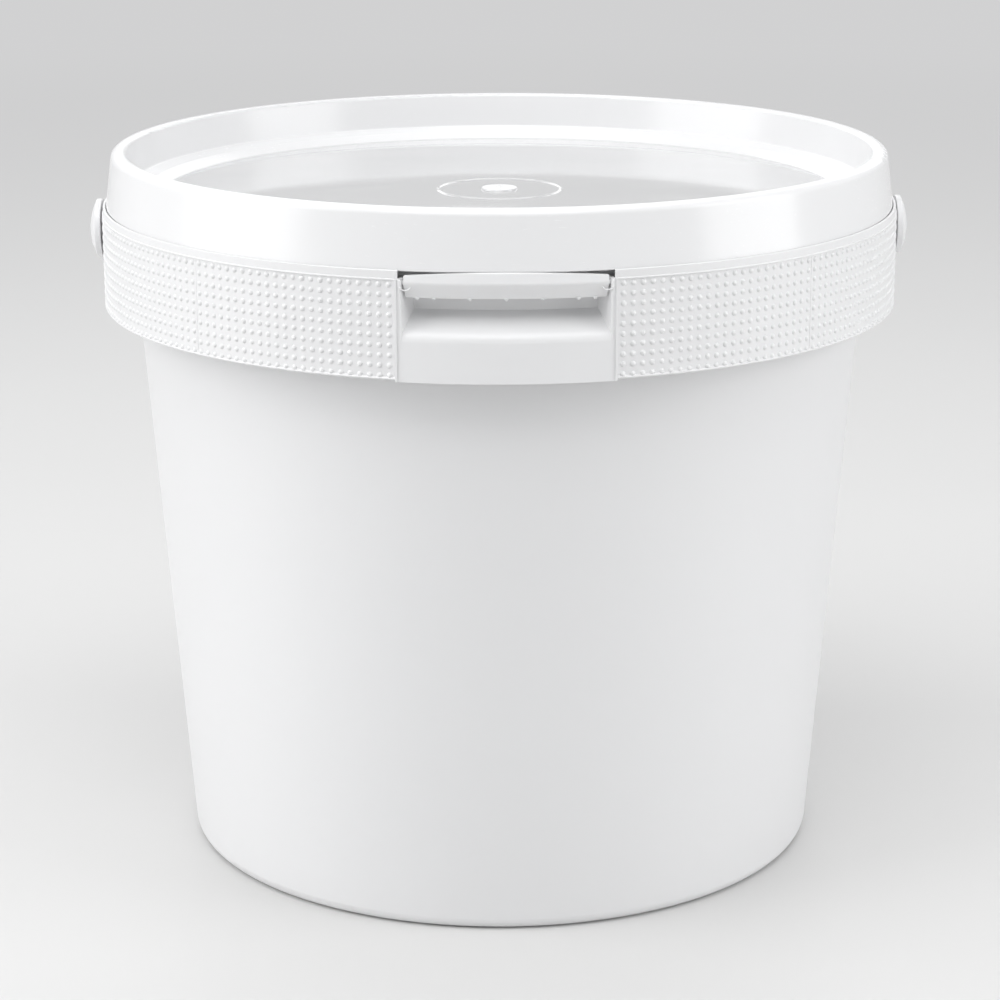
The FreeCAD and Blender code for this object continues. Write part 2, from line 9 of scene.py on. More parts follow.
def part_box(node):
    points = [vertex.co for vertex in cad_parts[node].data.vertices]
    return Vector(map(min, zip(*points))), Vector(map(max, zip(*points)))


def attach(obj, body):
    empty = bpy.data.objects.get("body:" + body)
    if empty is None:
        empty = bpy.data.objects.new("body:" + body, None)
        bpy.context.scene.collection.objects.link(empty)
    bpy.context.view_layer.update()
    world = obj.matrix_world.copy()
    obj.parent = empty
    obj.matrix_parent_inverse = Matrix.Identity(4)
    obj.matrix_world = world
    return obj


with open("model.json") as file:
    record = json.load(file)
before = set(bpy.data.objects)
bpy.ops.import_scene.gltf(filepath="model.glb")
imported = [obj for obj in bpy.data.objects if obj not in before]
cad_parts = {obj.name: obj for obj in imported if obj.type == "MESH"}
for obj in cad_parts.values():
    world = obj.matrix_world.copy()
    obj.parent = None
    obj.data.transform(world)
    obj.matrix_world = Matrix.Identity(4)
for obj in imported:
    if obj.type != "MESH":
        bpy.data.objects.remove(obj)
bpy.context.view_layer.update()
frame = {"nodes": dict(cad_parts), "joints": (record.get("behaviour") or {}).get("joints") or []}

# Round white food pail, shut: moulded polypropylene with a dotted collar, a sunk glossy
# lid, a tear-off tab over a finger pocket and a swinging bail handle.
# Metres, +Z up, the tab on the -Y side. Named angles are in degrees, but scuff_turn and
# CAMERA_ROLL are in radians. BELOW_TOP means that a size is taken down from the lid's top.

MM = 0.001
LID_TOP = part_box("lid")[1].z
PIVOT_HEIGHT = frame["joints"][0]["pos_m"][2]
TAB_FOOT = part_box("tamper_tab")[0].z
FRONT = -90.0  # azimuth of the -Y side
MERGE_DISTANCE = 1e-6
SMOOTH_ANGLE = 40
FLAT_FACE = 0.9  # a face looks along an axis when its normal has more than this of it

# Collar's dotted field
FIELD_RADIUS = 112.6 * MM
DOT_RADIUS = 0.86 * MM
DOT_SINK = 0.08 * MM
DOT_STEPS = ((0.12, 0.80), (0.18, 0.76), (0.12, 0.62), (0.05, 0.45))  # rise in mm, then shrink
DOT_SIDES = 10
DOT_COLUMNS = 246
DOT_ROWS = 10
FIRST_ROW_BELOW_TOP = 18.85 * MM
ROW_PITCH = 2.6 * MM
FIRST_COLUMN_ANGLE = 15.15  # to each side of the front
DISC_CLEAR_RADIUS = 7.6 * MM
DOT_FIELDS = {  # azimuths from and to
    "collar_dots_right": (-90.0, 30.0),
    "collar_dots_back": (30.0, 150.0),
    "collar_dots_left": (150.0, 270.0),
}

# Fine ledge along the top of the dotted field
LEDGE_BELOW_TOP = 17.3 * MM
LEDGE_HALF_GAP = 14.2
LEDGE_HEIGHT = 0.5 * MM
LEDGE_PROUD = 0.3 * MM
LEDGE_ROUNDING = 0.2 * MM
LEDGE_STEPS = 180

# Mould seam ribs on the collar
SEAM_ANGLE = 45.43  # to each side of the front
SEAM_WIDTH = 0.35 * MM
SEAM_PROUD = 0.06 * MM
SEAM_ROUNDING = SEAM_PROUD * 0.8
SEAM_TOP_BELOW_TOP = 17.6 * MM
SEAM_LENGTH = 24.4 * MM

# Rounded edges of the finger pocket
POCKET_HALF_WIDTH = 26.4 * MM
FRONT_PANEL_RADIUS = 113.3 * MM
POCKET_EDGE_WIDTH = 1.0 * MM
POCKET_EDGE_OUTSET = 0.3 * MM
POCKET_EDGE_SINK = 0.25 * MM
POCKET_EDGE_TOP_BELOW_TOP = 17.4 * MM
POCKET_EDGE_LENGTH = 13.0 * MM
POCKET_EDGE_FOOT_SHIFT = 0.7 * MM
POCKET_EDGE_ROUNDING = 0.42 * MM

# Ridges across the handle's grip
HANDLE_HANG = 27.97
BOW_STRAIGHT = 4.0 * MM
STRAP_OUTER_RADIUS = 116.6 * MM
RIDGE_COUNT = 13
RIDGE_PITCH = 5.2 * MM
RIDGE_WIDTH = 1.6 * MM
RIDGE_LENGTH = 10.5 * MM
RIDGE_PROUD = 0.5 * MM
RIDGE_ROUNDING = 0.38 * MM

# Middle of the lid's sunk panel
LID_PANEL_DEPTH = 13.0 * MM
GATE_DISC_HEIGHT = 0.5 * MM
GATE_DISC_RADIUS = 4.9 * MM
NUB_SIDES = 16
NUB_FOOT_RADIUS = 1.1 * MM
NUB_TOP_RADIUS = 0.8 * MM
NUB_HEIGHT = 0.4 * MM
NUB_RISE = 0.12 * MM
NUB_SCAR_INSET = 0.25 * MM
NUB_SCAR_SHIFT = (0.1 * MM, 0.05 * MM, -0.12 * MM)
NUB_ROUNDING = 0.08 * MM

# Break-off stubs along the tab's lower edge
STUB_PLACES = (-22.3, -18.1, -9.1, 0.0, 9.1, 18.1, 22.3)  # across, in mm
STUB_WIDTH = 1.3 * MM
STUB_HEIGHT = 0.75 * MM
STUB_DEPTH = 0.7 * MM
STUB_RADIUS = 111.6 * MM
STUB_DROP = 0.05 * MM
STUB_TIP = (0.45, 0.6, 1)
STUB_ROUNDING = 0.14 * MM
SMALL_STUB = 0.75

# Sagging bridges at the tab's ends
TIE_THICKNESS = 0.45 * MM
TIE_SPAN = 2.6 * MM
TIE_SAG = 0.6
TIE_ACROSS = 25.35 * MM
TIE_DEPTH = 110.4 * MM
TIE_BELOW_TOP = 19.3 * MM
TIE_SIDES = 10
TIE_STEPS = 14

# Finishes
WHITE = (0.80, 0.80, 0.805, 1)
DEEP_WHITE = (0.775, 0.775, 0.78, 1)
FINISHES = {
    "pail_plastic": {
        "light": WHITE, "deep": DEEP_WHITE, "smooth": 0.30, "dull": 0.42,
        "wave": 0.35, "grain": 0.012, "scuff": 0.4, "scuff_turn": (0.0, 0.3, 0.0),
    },
    "lid_plastic": {
        "light": (0.815, 0.815, 0.82, 1), "deep": (0.79, 0.79, 0.795, 1),
        "smooth": 0.14, "dull": 0.24,
        "wave": 1.2, "grain": 0.004, "scuff": 0.5, "scuff_turn": (0.0, 0.0, 0.8),
    },
    "tab_plastic": {
        "light": WHITE, "deep": DEEP_WHITE, "smooth": 0.32, "dull": 0.42,
        "wave": 0.5, "grain": 0.012, "scuff": 0.0, "scuff_turn": (0.0, 0.0, 0.0),
        "glow": 0.15,
    },
    "handle_plastic": {
        "light": WHITE, "deep": DEEP_WHITE, "smooth": 0.28, "dull": 0.40,
        "wave": 0.4, "grain": 0.012, "scuff": 0.6, "scuff_turn": (0.4, 0.0, 0.2),
    },
}
MOULDING_FINISHES = {
    "bucket": "pail_plastic",
    "lid": "lid_plastic",
    "tamper_tab": "tab_plastic",
    "handle": "handle_plastic",
}
PLASTIC_IOR = 1.49
GLOW_COLOURS = (1.0, 0.9, 0.85)
GLOW_REACH = 2.0 * MM
SKIN_RELIEF = 1.0 * MM
SKIN_RELIEF_STRENGTH = 0.35
FINE_BLOTCH = 0.4
WIDE_BLOTCH = 0.6
SCUFF_STRETCH = (1.0, 14.0, 14.0)
SCUFF_LINE_LEVEL = 0.68
SCUFF_PATCH_LEVEL = 0.53
SCUFF_DULLNESS = 0.2

# Lid's sunk glossy panel, with painted shade in its colour, and its fades per metre
LID_PANEL_RADIUS = 97.0 * MM
LID_LEDGE_DEPTH = 10.8 * MM
# Painted shade: a darker colour for the sunk panel, standing in for the shade and grey reflection seen
# on it
LID_PANEL_PAINTED_SHADE = (0.56, 0.56, 0.565, 1)
LID_PANEL_ROUGHNESS = 0.07
LID_COAT_ROUGHNESS = 0.06
PANEL_EDGE_FADE = 800.0
LEDGE_FADE = 2000.0
DISC_EDGE_FADE = 3000.0

# Camera
CAMERA_PLACE = (-0.01246, -0.8109, 0.32428)
CAMERA_TURN = -0.88
CAMERA_DIP = 15.69
CAMERA_ROLL = -0.0023
CAMERA_LENS = 102.83  # in mm
SENSOR_WIDTH = 36.0  # in mm
VIEW_REACH = 20.0

# Studio
FLOOR_SIDES = 96
FLOOR_RADIUS = 7.0
FLOOR_TONE = (0.68, 0.677, 0.672, 1)
FLOOR_PATCH_SHARE = 0.96
FLOOR_ROUGHNESS = 0.5
BACKGROUND_TONE = (0.64, 0.64, 0.645, 1)
FAR_FLOOR_START = 0.4
FAR_FLOOR_FULL = 2.0
WORLD_STRENGTH = 0.37
WORLD_TONE = (0.96, 0.98, 1.0, 1)
WORLD_BEHIND_TONE = (1.1, 1.1, 1.12, 1)
WORLD_BEHIND_START = 0.2
WORLD_BEHIND_FULL = 0.75
WORLD_LOW_START = 0.75
WORLD_LOW_FULL = 0.35
LAMP_AIM = (0, 0, 0.12)
LAMPS = {  # place, size and watts
    "left_window": ((-1.5, -0.35, 0.75), (1.3, 1.5), 17.2),
    "right_panel": ((1.5, -0.45, 0.6), (1.0, 1.3), 12.6),
    "front_top": ((-0.1, -0.75, 1.45), (1.2, 0.9), 9.3),
    "overhead": ((0, 0.15, 1.6), (1.4, 1.2), 6.0),
    "back_panel": ((0, 1.6, 0.9), (2.2, 0.8), 6.2),
}


# Modelling helpers

def deselect_all():
    if bpy.context.object and bpy.context.object.mode != "OBJECT":
        bpy.ops.object.mode_set(mode="OBJECT")
    bpy.ops.object.select_all(action="DESELECT")


def named(name):
    """The object an operator has just added, under its own name."""
    piece = bpy.context.object
    piece.name = name
    piece.data.name = name
    return piece


def block(name, size, place=(0, 0, 0)):
    """A cuboid with its size and place in its mesh, left open in edit mode."""
    deselect_all()
    bpy.ops.mesh.primitive_cube_add(size=1.0)
    piece = named(name)
    piece.scale = size
    piece.location = place
    bpy.ops.object.transform_apply(location=True, rotation=True, scale=True)
    bpy.ops.object.mode_set(mode="EDIT")
    return piece


def select_faces(piece, test):
    """In edit mode, selects the faces whose normal passes a test."""
    mesh = bmesh.from_edit_mesh(piece.data)
    bpy.ops.mesh.select_all(action="DESELECT")
    for face in mesh.faces:
        face.select_set(test(face.normal))
    mesh.select_flush_mode()
    bmesh.update_edit_mesh(piece.data)


def round_all_edges(width, segments):
    """Rounds every edge of the piece in edit mode, and leaves edit mode."""
    bpy.ops.mesh.select_all(action="SELECT")
    bpy.ops.mesh.bevel(offset=width, segments=segments, affect="EDGES")
    bpy.ops.object.mode_set(mode="OBJECT")


def copy_of(pattern):
    """A copy of a piece, with a mesh of its own."""
    copy = pattern.copy()
    copy.data = pattern.data.copy()
    bpy.context.scene.collection.objects.link(copy)
    return copy


def join(pieces, name):
    """Joins copies of one shape into one piece."""
    deselect_all()
    for piece in pieces:
        piece.select_set(True)
    bpy.context.view_layer.objects.active = pieces[0]
    bpy.ops.object.join()
    return named(name)


def settle(piece):
    """Puts a finished piece's place into its mesh, with its normals outward."""
    deselect_all()
    piece.select_set(True)
    bpy.context.view_layer.objects.active = piece
    bpy.ops.object.transform_apply(location=True, rotation=True, scale=True)
    bpy.ops.object.mode_set(mode="EDIT")
    bpy.ops.mesh.select_all(action="SELECT")
    bpy.ops.mesh.remove_doubles(threshold=MERGE_DISTANCE)
    bpy.ops.mesh.normals_make_consistent(inside=False)
    bpy.ops.object.mode_set(mode="OBJECT")
    bpy.ops.object.shade_smooth_by_angle(angle=math.radians(SMOOTH_ANGLE))


def finish_piece(piece, body, finish):
    """Gives a piece its finish and lets it move with its body."""
    piece.data.materials.clear()
    piece.data.materials.append(finish)
    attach(piece, body)


def front_depth(radius, across):
    """Y of a round front, at a distance across from its middle."""
    return -math.sqrt(radius ** 2 - across ** 2)


# Shader helpers

def group_sockets(group, inputs, outputs):
    for name, kind, value in inputs:
        socket = group.interface.new_socket(name, in_out="INPUT", socket_type=kind)
        socket.default_value = value
    for name, kind in outputs:
        group.interface.new_socket(name, in_out="OUTPUT", socket_type=kind)


def node(tree, kind, **settings):
    made = tree.nodes.new(kind)
    for name, value in settings.items():
        setattr(made, name, value)
    return made


def noise(tree, coordinates, scale, detail=2.0, rough=0.5):
    made = node(tree, "ShaderNodeTexNoise")
    made.inputs["Scale"].default_value = scale
    made.inputs["Detail"].default_value = detail
    made.inputs["Roughness"].default_value = rough
    tree.links.new(coordinates, made.inputs["Vector"])
    return made.outputs["Fac"]


def math_node(tree, operation, first, second=0.0):
    """A calculation with one or two values, each a number or another node's output."""
    made = node(tree, "ShaderNodeMath", operation=operation)
    for socket, value in zip(made.inputs, (first, second)):
        if isinstance(value, (int, float)):
            socket.default_value = value
        else:
            tree.links.new(value, socket)
    return made.outputs["Value"]


def spread(tree, value, low, high):
    """Maps 0..1 to the range between two outputs."""
    made = node(tree, "ShaderNodeMapRange", clamp=True)
    tree.links.new(value, made.inputs["Value"])
    tree.links.new(low, made.inputs["To Min"])
    tree.links.new(high, made.inputs["To Max"])
    return made.outputs["Result"]


def fade(tree, value, start, full):
    """Goes smoothly from 0 at the start to 1 where it is full."""
    made = node(tree, "ShaderNodeMapRange", interpolation_type="SMOOTHSTEP")
    made.inputs["From Min"].default_value = start
    made.inputs["From Max"].default_value = full
    tree.links.new(value, made.inputs["Value"])
    return made.outputs["Result"]


def object_coordinates(tree):
    return node(tree, "ShaderNodeTexCoord").outputs["Object"]


def place_group(tree, group, **values):
    made = node(tree, "ShaderNodeGroup", node_tree=group)
    for name, value in values.items():
        made.inputs[name.replace("_", " ")].default_value = value
    return made


# Finishes

def moulded_skin_group():
    """Skin of moulded polypropylene: tone, gloss and height, from the moulding itself."""
    group = bpy.data.node_groups.new("moulded_skin", "ShaderNodeTree")
    group_sockets(
        group,
        (
            ("Coordinates", "NodeSocketVector", (0, 0, 0)),
            ("Light Tone", "NodeSocketColor", WHITE),
            ("Deep Tone", "NodeSocketColor", DEEP_WHITE),
            ("Smooth Gloss", "NodeSocketFloat", 0.3),
            ("Dull Gloss", "NodeSocketFloat", 0.4),
            ("Wave Height", "NodeSocketFloat", 0.2),
            ("Grain Height", "NodeSocketFloat", 0.05),
        ),
        (
            ("Tone", "NodeSocketColor"),
            ("Gloss", "NodeSocketFloat"),
            ("Height", "NodeSocketFloat"),
        ),
    )
    given = node(group, "NodeGroupInput").outputs
    results = node(group, "NodeGroupOutput").inputs
    where = given["Coordinates"]
    waves = noise(group, where, scale=26.0, detail=1.5, rough=0.45)
    flow = noise(group, where, scale=9.0, detail=2.0, rough=0.5)
    grain = noise(group, where, scale=2600.0, detail=1.0, rough=0.5)
    specks = noise(group, where, scale=420.0, detail=3.0, rough=0.6)
    tone = node(group, "ShaderNodeMix", data_type="RGBA")
    group.links.new(flow, tone.inputs["Factor"])
    group.links.new(given["Light Tone"], tone.inputs["A"])
    group.links.new(given["Deep Tone"], tone.inputs["B"])
    fine = math_node(group, "MULTIPLY", specks, FINE_BLOTCH)
    wide = math_node(group, "MULTIPLY", flow, WIDE_BLOTCH)
    blotch = math_node(group, "ADD", fine, wide)
    gloss = spread(group, blotch, given["Smooth Gloss"], given["Dull Gloss"])
    high_waves = math_node(group, "MULTIPLY", waves, given["Wave Height"])
    high_grain = math_node(group, "MULTIPLY", grain, given["Grain Height"])
    height = math_node(group, "ADD", high_waves, high_grain)
    group.links.new(tone.outputs["Result"], results["Tone"])
    group.links.new(gloss, results["Gloss"])
    group.links.new(height, results["Height"])
    return group


def scuff_group():
    """Fine hairline scuffs from stacking and handling, as a mask."""
    group = bpy.data.node_groups.new("handling_scuffs", "ShaderNodeTree")
    group_sockets(
        group,
        (
            ("Coordinates", "NodeSocketVector", (0, 0, 0)),
            ("Turn", "NodeSocketVector", (0, 0, 0)),
            ("Amount", "NodeSocketFloat", 0.5),
        ),
        (("Scuffs", "NodeSocketFloat"),),
    )
    given = node(group, "NodeGroupInput").outputs
    results = node(group, "NodeGroupOutput").inputs
    turned = node(group, "ShaderNodeMapping")
    turned.inputs["Scale"].default_value = SCUFF_STRETCH
    group.links.new(given["Coordinates"], turned.inputs["Vector"])
    group.links.new(given["Turn"], turned.inputs["Rotation"])
    strokes = noise(group, turned.outputs["Vector"], scale=130.0, detail=3.0, rough=0.6)
    patches = noise(group, given["Coordinates"], scale=22.0, detail=1.0, rough=0.5)
    lines = math_node(group, "GREATER_THAN", strokes, SCUFF_LINE_LEVEL)
    some = math_node(group, "GREATER_THAN", patches, SCUFF_PATCH_LEVEL)
    both = math_node(group, "MULTIPLY", lines, some)
    amount = math_node(group, "MULTIPLY", both, given["Amount"])
    group.links.new(amount, results["Scuffs"])
    return group


def panel_shade_and_gloss_group():
    """Mask of the lid's sunk panel, where shade is painted into its colour and its gloss is raised, its
    gate disc left clear.
    """
    group = bpy.data.node_groups.new("panel_shade_and_gloss", "ShaderNodeTree")
    group_sockets(
        group,
        (
            ("Coordinates", "NodeSocketVector", (0, 0, 0)),
            ("Panel Radius", "NodeSocketFloat", LID_PANEL_RADIUS),
            ("Ledge Height", "NodeSocketFloat", LID_TOP - LID_LEDGE_DEPTH),
            ("Disc Radius", "NodeSocketFloat", GATE_DISC_RADIUS),
        ),
        (("Panel", "NodeSocketFloat"),),
    )
    given = node(group, "NodeGroupInput").outputs
    results = node(group, "NodeGroupOutput").inputs
    parts = node(group, "ShaderNodeSeparateXYZ")
    group.links.new(given["Coordinates"], parts.inputs["Vector"])
    across, along, height = (parts.outputs[axis] for axis in "XYZ")
    across_square = math_node(group, "MULTIPLY", across, across)
    along_square = math_node(group, "MULTIPLY", along, along)
    radius = math_node(group, "SQRT", math_node(group, "ADD", across_square, along_square))
    inside = math_node(group, "SUBTRACT", given["Panel Radius"], radius)
    below = math_node(group, "SUBTRACT", given["Ledge Height"], height)
    edge = math_node(group, "MULTIPLY", inside, PANEL_EDGE_FADE)
    drop = math_node(group, "MULTIPLY", below, LEDGE_FADE)
    past_disc = math_node(group, "SUBTRACT", radius, given["Disc Radius"])
    off_disc = math_node(group, "MULTIPLY", past_disc, DISC_EDGE_FADE)
    panel = node(group, "ShaderNodeMath", operation="MINIMUM", use_clamp=True)
    group.links.new(math_node(group, "MINIMUM", edge, off_disc), panel.inputs[0])
    group.links.new(drop, panel.inputs[1])
    group.links.new(panel.outputs["Value"], results["Panel"])
    return group


def plastic(name, skin, scuffs, light, deep, smooth, dull, wave, grain, scuff, scuff_turn, glow=0.0):
    """White moulded polypropylene, from the shared skin and scuffs."""
    material = bpy.data.materials.new(name)
    material.use_nodes = True
    tree = material.node_tree
    shader = tree.nodes["Principled BSDF"]
    shader.inputs["IOR"].default_value = PLASTIC_IOR
    shader.inputs["Subsurface Weight"].default_value = glow
    shader.inputs["Subsurface Radius"].default_value = GLOW_COLOURS
    shader.inputs["Subsurface Scale"].default_value = GLOW_REACH
    where = object_coordinates(tree)
    surface = place_group(tree, skin, Light_Tone=light, Deep_Tone=deep, Smooth_Gloss=smooth,
                          Dull_Gloss=dull, Wave_Height=wave, Grain_Height=grain)
    marks = place_group(tree, scuffs, Turn=scuff_turn, Amount=scuff)
    tree.links.new(where, surface.inputs["Coordinates"])
    tree.links.new(where, marks.inputs["Coordinates"])
    tree.links.new(surface.outputs["Tone"], shader.inputs["Base Color"])
    dulled = math_node(tree, "MULTIPLY", marks.outputs["Scuffs"], SCUFF_DULLNESS)
    gloss = math_node(tree, "ADD", surface.outputs["Gloss"], dulled)
    tree.links.new(gloss, shader.inputs["Roughness"])
    relief = node(tree, "ShaderNodeBump")
    relief.inputs["Strength"].default_value = SKIN_RELIEF_STRENGTH
    relief.inputs["Distance"].default_value = SKIN_RELIEF
    tree.links.new(surface.outputs["Height"], relief.inputs["Height"])
    tree.links.new(relief.outputs["Normal"], shader.inputs["Normal"])
    return material


def change_within(tree, mask, socket, kind, value):
    """Mixes another value into what feeds a socket, as far as a mask goes."""
    source = socket.links[0].from_socket
    mix = node(tree, "ShaderNodeMix", data_type=kind)
    tree.links.new(mask, mix.inputs["Factor"])
    outside, within = [each for each in mix.inputs if each.enabled and each.name in "AB"]
    tree.links.new(source, outside)
    within.default_value = value
    result = [each for each in mix.outputs if each.enabled][0]
    tree.links.new(result, socket)


def shade_and_gloss_panel(material):
    """Paints shade into the lid's sunk panel around its gate disc, as a darker colour, and makes it
    glossier than its rim.
    """
    tree = material.node_tree
    shader = tree.nodes["Principled BSDF"]
    where = object_coordinates(tree)
    panel = place_group(tree, panel_shade_and_gloss_group(), Panel_Radius=LID_PANEL_RADIUS,
                        Ledge_Height=LID_TOP - LID_LEDGE_DEPTH, Disc_Radius=GATE_DISC_RADIUS)
    mask = panel.outputs["Panel"]
    shader.inputs["Coat Roughness"].default_value = LID_COAT_ROUGHNESS
    tree.links.new(mask, shader.inputs["Coat Weight"])
    tree.links.new(where, panel.inputs["Coordinates"])
    # Painted shade: the panel's colour is darkened as far as the mask reaches
    change_within(tree, mask, shader.inputs["Base Color"], "RGBA", LID_PANEL_PAINTED_SHADE)
    change_within(tree, mask, shader.inputs["Roughness"], "FLOAT", LID_PANEL_ROUGHNESS)


def make_finishes():
    skin = moulded_skin_group()
    scuffs = scuff_group()
    finishes = {name: plastic(name, skin, scuffs, **values) for name, values in FINISHES.items()}
    shade_and_gloss_panel(finishes["lid_plastic"])
    return finishes


# Dots, seams and ledge of the collar

def one_dot():
    """A low dome with its foot at the origin, standing up along Z."""
    deselect_all()
    bpy.ops.mesh.primitive_circle_add(vertices=DOT_SIDES, radius=DOT_RADIUS, fill_type="NGON")
    dot = named("dot")
    bpy.ops.object.mode_set(mode="EDIT")
    bpy.ops.mesh.select_all(action="SELECT")
    for rise, shrink in DOT_STEPS:
        bpy.ops.mesh.extrude_region_move(TRANSFORM_OT_translate={"value": (0, 0, rise * MM)})
        bpy.ops.transform.resize(value=(shrink, shrink, 1), center_override=(0, 0, 0))
    bpy.ops.object.mode_set(mode="OBJECT")
    settle(dot)
    return dot


def dot_angles():
    """Azimuths of the dot columns, the front panel left clear."""
    first = FRONT + FIRST_COLUMN_ANGLE
    pitch = (360.0 - 2 * FIRST_COLUMN_ANGLE) / (DOT_COLUMNS - 1)
    return [first + pitch * column for column in range(DOT_COLUMNS)]


def dot_place(angle, height):
    """Turns a dome so that it stands outward from the collar's field."""
    turn = Matrix.Rotation(math.radians(angle), 4, "Z")
    outward = Matrix.Translation((FIELD_RADIUS - DOT_SINK, 0, height))
    lie = Matrix.Rotation(math.radians(90), 4, "Y")
    return turn @ outward @ lie


def under_disc(angle, height):
    """Whether a dot would lie under one of the handle's end discs."""
    off_side = min(abs(angle), abs(angle - 180.0))
    across = FIELD_RADIUS * math.sin(math.radians(off_side))
    return math.hypot(across, height - PIVOT_HEIGHT) < DISC_CLEAR_RADIUS


def dot_places(first, last):
    """Places of the dots between two azimuths, column by column."""
    places = []
    for angle in dot_angles():
        if not first <= angle < last:
            continue
        for row in range(DOT_ROWS):
            height = LID_TOP - FIRST_ROW_BELOW_TOP - row * ROW_PITCH
            if not under_disc(angle, height):
                places.append(dot_place(angle, height))
    return places


def dot_fields(finish):
    """Dots of the collar, in a piece for each third of its round."""
    dot = one_dot()
    corners = [vertex.co.copy() for vertex in dot.data.vertices]
    faces = [tuple(face.vertices) for face in dot.data.polygons]
    bpy.data.objects.remove(dot)
    for name, (first, last) in DOT_FIELDS.items():
        points = []
        loops = []
        for place in dot_places(first, last):
            start = len(points)
            points.extend(place @ corner for corner in corners)
            loops.extend(tuple(start + index for index in face) for face in faces)
        mesh = bpy.data.meshes.new(name)
        mesh.from_pydata(points, [], loops)
        mesh.update()
        for face in mesh.polygons:
            face.use_smooth = True
        field = bpy.data.objects.new(name, mesh)
        bpy.context.scene.collection.objects.link(field)
        finish_piece(field, "pail", finish)


def seam_rib(name, side, finish):
    """Fine upright rib where two slides of the mould meet on the collar."""
    middle = LID_TOP - SEAM_TOP_BELOW_TOP - SEAM_LENGTH / 2
    rib = block(name, (2 * SEAM_PROUD, SEAM_WIDTH, SEAM_LENGTH), (FIELD_RADIUS, 0, middle))
    round_all_edges(SEAM_ROUNDING, segments=3)
    rib.rotation_euler.z = math.radians(FRONT + side * SEAM_ANGLE)
    settle(rib)
    finish_piece(rib, "pail", finish)


def field_ledge(finish):
    """Fine rounded ledge where the dotted field meets the collar's lip."""
    deselect_all()
    start = math.radians(FRONT + LEDGE_HALF_GAP)
    sweep = math.radians(360.0 - 2 * LEDGE_HALF_GAP)
    bpy.ops.mesh.primitive_plane_add(size=1.0)
    ledge = named("field_ledge")
    ledge.scale = (2 * LEDGE_PROUD, LEDGE_HEIGHT, 1.0)
    ledge.rotation_euler.x = math.radians(90)
    ledge.location = (FIELD_RADIUS, 0, LID_TOP - LEDGE_BELOW_TOP - LEDGE_HEIGHT / 2)
    bpy.ops.object.transform_apply(location=True, rotation=True, scale=True)
    bpy.ops.object.mode_set(mode="EDIT")
    mesh = bmesh.from_edit_mesh(ledge.data)
    for corner in mesh.verts:
        corner.select_set(corner.co.x > FIELD_RADIUS)
    mesh.select_flush_mode()
    bmesh.update_edit_mesh(ledge.data)
    bpy.ops.mesh.bevel(offset=LEDGE_ROUNDING, segments=3, affect="VERTICES")
    bpy.ops.mesh.select_all(action="SELECT")
    # Both operators turn clockwise, seen from above, when their angle is positive.
    bpy.ops.transform.rotate(value=-start, orient_axis="Z", center_override=(0, 0, 0))
    bpy.ops.mesh.spin(steps=LEDGE_STEPS, angle=-sweep, center=(0, 0, 0), axis=(0, 0, 1))
    bpy.ops.object.mode_set(mode="OBJECT")
    settle(ledge)
    finish_piece(ledge, "pail", finish)


# Edges, stubs and bridges of the pocket and the tab

def pocket_edge(name, side, finish):
    """Rounded upright edge at one side of the finger pocket's mouth."""
    across = side * (POCKET_HALF_WIDTH + POCKET_EDGE_OUTSET)
    middle = LID_TOP - POCKET_EDGE_TOP_BELOW_TOP - POCKET_EDGE_LENGTH / 2
    depth = front_depth(FRONT_PANEL_RADIUS, across) + POCKET_EDGE_SINK
    edge = block(name, (POCKET_EDGE_WIDTH, POCKET_EDGE_WIDTH, POCKET_EDGE_LENGTH))
    select_faces(edge, lambda normal: normal.z < -FLAT_FACE)
    bpy.ops.transform.translate(value=(0, POCKET_EDGE_FOOT_SHIFT, 0))
    round_all_edges(POCKET_EDGE_ROUNDING, segments=4)
    edge.rotation_euler.z = math.asin(across / FRONT_PANEL_RADIUS)
    edge.location = (across, depth, middle)
    settle(edge)
    finish_piece(edge, "pail", finish)


def one_stub():
    """A torn-off gate stub, rounded and wider at its root."""
    stub = block("stub", (STUB_WIDTH, STUB_DEPTH, STUB_HEIGHT))
    select_faces(stub, lambda normal: normal.z < -FLAT_FACE)
    bpy.ops.transform.resize(value=STUB_TIP, center_override=(0, 0, 0))
    round_all_edges(STUB_ROUNDING, segments=2)
    return stub


def tab_stubs(finish):
    """Row of break-off stubs along the tab's lower edge."""
    pattern = one_stub()
    copies = []
    for number, place in enumerate(STUB_PLACES):
        copy = copy_of(pattern)
        across = place * MM
        copy.location = (across, front_depth(STUB_RADIUS, across), TAB_FOOT - STUB_DROP)
        size = SMALL_STUB if number % 3 == 1 else 1.0
        copy.scale = (size, 1.0, size)
        copy.rotation_euler.z = math.asin(across / STUB_RADIUS)
        copies.append(copy)
    bpy.data.objects.remove(pattern)
    stubs = join(copies, "tab_stubs")
    settle(stubs)
    finish_piece(stubs, "pail", finish)


